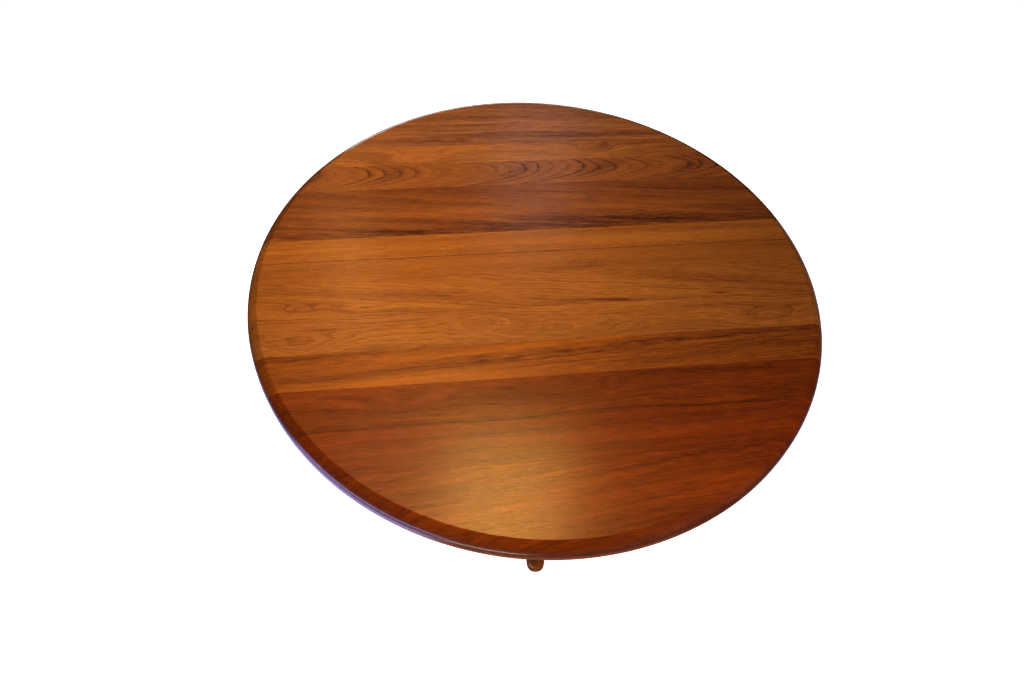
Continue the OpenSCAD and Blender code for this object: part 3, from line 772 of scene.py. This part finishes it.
def foot(node, turn, material):
    """A foot: rounded sections from the hub out to a round toe.

    Its underside and its top line are (distance from the middle, height) points. Towards the end
    of the toe the width closes sooner than the height.
    """
    low_line = [(FOOT_START, 0.045)]
    low_line += smooth_line((0.104, 0.045), (0.180, 0.044), (0.240, 0.014), (0.318, 0.0065), 20)
    low_line += [(0.400, 0.006)]
    high_line = smooth_line((0.354, 0.044), (0.250, 0.056), (0.160, 0.138), (FOOT_START, 0.142), 24)[::-1]
    high_line += [(0.400, 0.042)]
    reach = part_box("foot_right")[1].x
    bm = bmesh.new()
    rings = []
    for i in range(FOOT_STATIONS + 1):
        x, close = foot_station(i / FOOT_STATIONS, reach)
        z0, z1 = height_at(low_line, x), height_at(high_line, x)
        middle = (z0 + z1) / 2 - 0.003 * (1 - close)
        rise = (z1 - z0) / 2 * close ** 0.75
        half = FOOT_HALF * close ** 0.9
        ring = []
        for k in range(FOOT_RING):
            a = 2 * math.pi * k / FOOT_RING
            c, s = math.cos(a), math.sin(a)
            y = half * math.copysign(abs(c) ** FOOT_POWER, c)
            z = middle + rise * math.copysign(abs(s) ** FOOT_POWER, s)
            ring.append(bm.verts.new((x, y, z)))
        rings.append(ring)
    for a, b in zip(rings, rings[1:]):
        for k in range(FOOT_RING):
            bm.faces.new((a[k], a[(k + 1) % FOOT_RING], b[(k + 1) % FOOT_RING], b[k]))
    bm.faces.new(rings[0][::-1])
    bm.faces.new(rings[-1])
    bmesh.ops.rotate(bm, cent=(0, 0, 0), matrix=Matrix.Rotation(turn, 3, "Z"), verts=bm.verts)
    finish_piece(node + "_shaped", bm, material, node, sharp=50)


def pedestal():
    column()
    hub()
    for quarter, way in enumerate(("right", "far", "left", "near")):
        foot("foot_" + way, quarter * math.pi / 2, MATERIALS["foot_x" if quarter % 2 == 0 else "foot_y"])


# ---- metal and plastic on the CAD pieces -----------------------------------

def paint(node, material):
    data = frame["nodes"][node].data
    data.materials.clear()
    data.materials.append(material)


def hardware():
    for node in frame["nodes"]:
        if node.startswith(("hinge_", "stay_", "hanger_", "thumb_", "screws_")):
            paint(node, MATERIALS["brass"])
    for node in ("head_bolts", "base_screws"):
        paint(node, MATERIALS["steel"])
    paint("base_plate", MATERIALS["black"])
    paint("glides", MATERIALS["glide"])


# ---- floor, light and camera -----------------------------------------------

def pale_paint(name, glow):
    """The floor's and the backdrop's paint, lit from within, and clear from behind."""
    g = Graph(name)
    mottle = g.noise(g.mapped(g.point, scale=(3, 3, 3)), 2.0)
    g.set(g.shader.inputs["Base Color"], g.mix(mottle, linear(240, 240, 240), linear(246, 246, 246)))
    g.shader.inputs["Roughness"].default_value = 0.9
    g.shader.inputs["Specular IOR Level"].default_value = 0.1
    g.shader.inputs["Emission Color"].default_value = (1.0, 1.0, 1.0, 1.0)
    g.shader.inputs["Emission Strength"].default_value = glow
    behind = g.tree.nodes.new("ShaderNodeNewGeometry").outputs["Backfacing"]
    g.set(g.shader.inputs["Alpha"], g.math("SUBTRACT", 1.0, behind))
    return g.material


def stage_piece(name, bm):
    """A piece of the setting, which the table's gloss doesn't mirror."""
    mesh = bpy.data.meshes.new(name)
    bm.to_mesh(mesh)
    bm.free()
    mesh.materials.append(pale_paint(name + "_paint", STAGE_GLOW))
    piece = bpy.data.objects.new(name, mesh)
    bpy.context.scene.collection.objects.link(piece)
    piece.visible_glossy = False
    return piece


def floor():
    bm = bmesh.new()
    bmesh.ops.create_grid(bm, x_segments=8, y_segments=8, size=STAGE)
    stage_piece("floor", bm)


def backdrop():
    """A pale dome that only the camera sees, from below the horizon up to overhead."""
    angles = [step / 40 for step in range(-20, 63)]
    bm = revolve([(STAGE * math.cos(a), STAGE * math.sin(a)) for a in angles], turn=64)
    bmesh.ops.reverse_faces(bm, faces=bm.faces)
    dome = stage_piece("backdrop", bm)
    dome.visible_diffuse = False
    dome.visible_shadow = False


def soft_light(name, place_at, aim, size, power, colour, glossy=True, diffuse=True):
    """A rectangular lamp; glossy says whether it is mirrored, diffuse whether it lights the wood."""
    data = bpy.data.lights.new(name, "AREA")
    data.shape = "RECTANGLE"
    data.size, data.size_y = size
    data.energy = power
    data.color = colour
    lamp = bpy.data.objects.new(name, data)
    lamp.location = place_at
    lamp.rotation_euler = (Vector(aim) - Vector(place_at)).to_track_quat("-Z", "Y").to_euler()
    lamp.visible_glossy = glossy
    lamp.visible_diffuse = diffuse
    lamp.visible_camera = False
    bpy.context.scene.collection.objects.link(lamp)


def base_fill(quarter):
    """One of the four low lamps round the pedestal."""
    turn = math.radians(45 + 90 * quarter)
    at = (FILL_LAMP_R * math.cos(turn), FILL_LAMP_R * math.sin(turn), FILL_LAMP_Z)
    return (at, (0, 0, FILL_LAMP_Z), (2.4, 0.6), 12, (1, 1, 1), FILL)


# What a lamp does: FILL lights the wood and isn't mirrored, GLARE is only mirrored, BOTH does both
FILL = dict(glossy=False)
GLARE = dict(diffuse=False)
BOTH = {}

# The lamps: place, what they point at, width and height, power in watts, colour, and what they do.
# Glare lamps above the level top show in it. Those below it show in the rim and in hanging leaves.
LAMPS = {
    "overhead": ((0, 0, 3.4), (0, 0, TOP_Z), (4.5, 4.5), 37, (1, 0.96, 0.72), FILL),
    "key": ((-0.3, 0, TOP_Z + 0.9), (-0.3, 0, TOP_Z), (0.6, 0.6), 11.0, (1, 0.94, 0.5), FILL),
    "left_window": ((-1.9, -1.4, 0.36), (-0.4, -0.5, 0.68), (2.1, 0.68), 28, (0.48, 0.52, 1), GLARE),
    "ceiling_lamp": ((0.03, 0.21, 2.6), (-0.1, -0.46, TOP_Z), (0.52, 0.84), 9.6, (1, 0.78, 0.24), GLARE),
    "far_lamp": ((-0.6, 1.75, 2.6), (-0.36, 0.2, TOP_Z), (0.24, 0.7), 1.3, (1, 0.62, 0.3), GLARE),
    "far_window": ((0.52, 2.75, 3.0), (0.1, 0.5, TOP_Z), (0.5, 0.95), 1.9, (0.9, 0.85, 0.9), GLARE),
    "right_fill": ((1.9, -1.7, 1.5), (0, 0, TOP_Z), (1.6, 1.2), 26, (1, 0.9, 0.8), FILL),
    "foot_fill": ((-0.5, -1.5, 0.2), (0, -0.37, 0.03), (0.6, 0.3), 4, (1, 0.9, 0.85), BOTH),
    **{f"base_fill_{quarter}": base_fill(quarter) for quarter in range(4)},
    "hardware_sheen": ((0, 2.7, 0.4), (0, 0, 0.5), (2.0, 0.5), 8, (1, 1, 1), BOTH),
    "left_floor_sheen": ((-1.3, -0.35, 0.02), (-1.3, -0.35, 1), (1.7, 1.5), 14, (0.48, 0.52, 1), GLARE),
    "right_floor_sheen": ((1.6, 0.4, 0.02), (1.6, 0.4, 1), (1.6, 2.0), 8, (0.4, 0.55, 1), GLARE),
    "near_floor_sheen": ((0, -1.5, 0.02), (0, -1.5, 1), (2.2, 1.8), 1.6, (0.9, 0.7, 0.8), GLARE),
    "near_window": ((0.2, -3.0, 0.7), (0, -0.6, 0.7), (3.0, 1), 3, (1, 0.8, 0.5), GLARE),
}


def studio():
    world = bpy.data.worlds.new("studio")
    world.use_nodes = True
    background = world.node_tree.nodes["Background"]
    background.inputs["Color"].default_value = (1.0, 1.0, 1.0, 1.0)
    background.inputs["Strength"].default_value = 0.015
    bpy.context.scene.world = world
    for name, (place_at, aim, size, power, colour, does) in LAMPS.items():
        soft_light(name, place_at, aim, size, power, colour, **does)


def camera():
    """Placed by its elevation, roll and heading, and by its distance and aim in shares of the radius."""
    elevation, roll, heading = (math.radians(a) for a in (54.0, 5.28, 10.8))
    distance, right, up = 2.809 * RADIUS, 0.0945 * RADIUS, 0.2235 * RADIUS
    data = bpy.data.cameras.new("camera")
    data.sensor_width = 36
    data.lens = 28.1
    back = Vector((0, -math.cos(elevation), math.sin(elevation)))
    side = Vector((1, 0, 0))
    level = Matrix((side, back.cross(side), back))
    c, s = math.cos(roll), math.sin(roll)
    rolled = Matrix(((c, s, 0), (-s, c, 0), (0, 0, 1)))
    look = rolled @ level @ Matrix.Rotation(heading, 3, "Z")
    eye = look.transposed() @ -Vector((right, up, -distance))
    holder = bpy.data.objects.new("camera", data)
    holder.matrix_world = Matrix.Translation(eye + Vector((0, 0, TOP_Z))) @ look.transposed().to_4x4()
    bpy.context.scene.collection.objects.link(holder)
    bpy.context.scene.camera = holder


top()
frame_wood()
pedestal()
hardware()
floor()
backdrop()
studio()
camera()
view = bpy.context.scene.view_settings
view.view_transform = "Standard"
view.gamma = 0.8
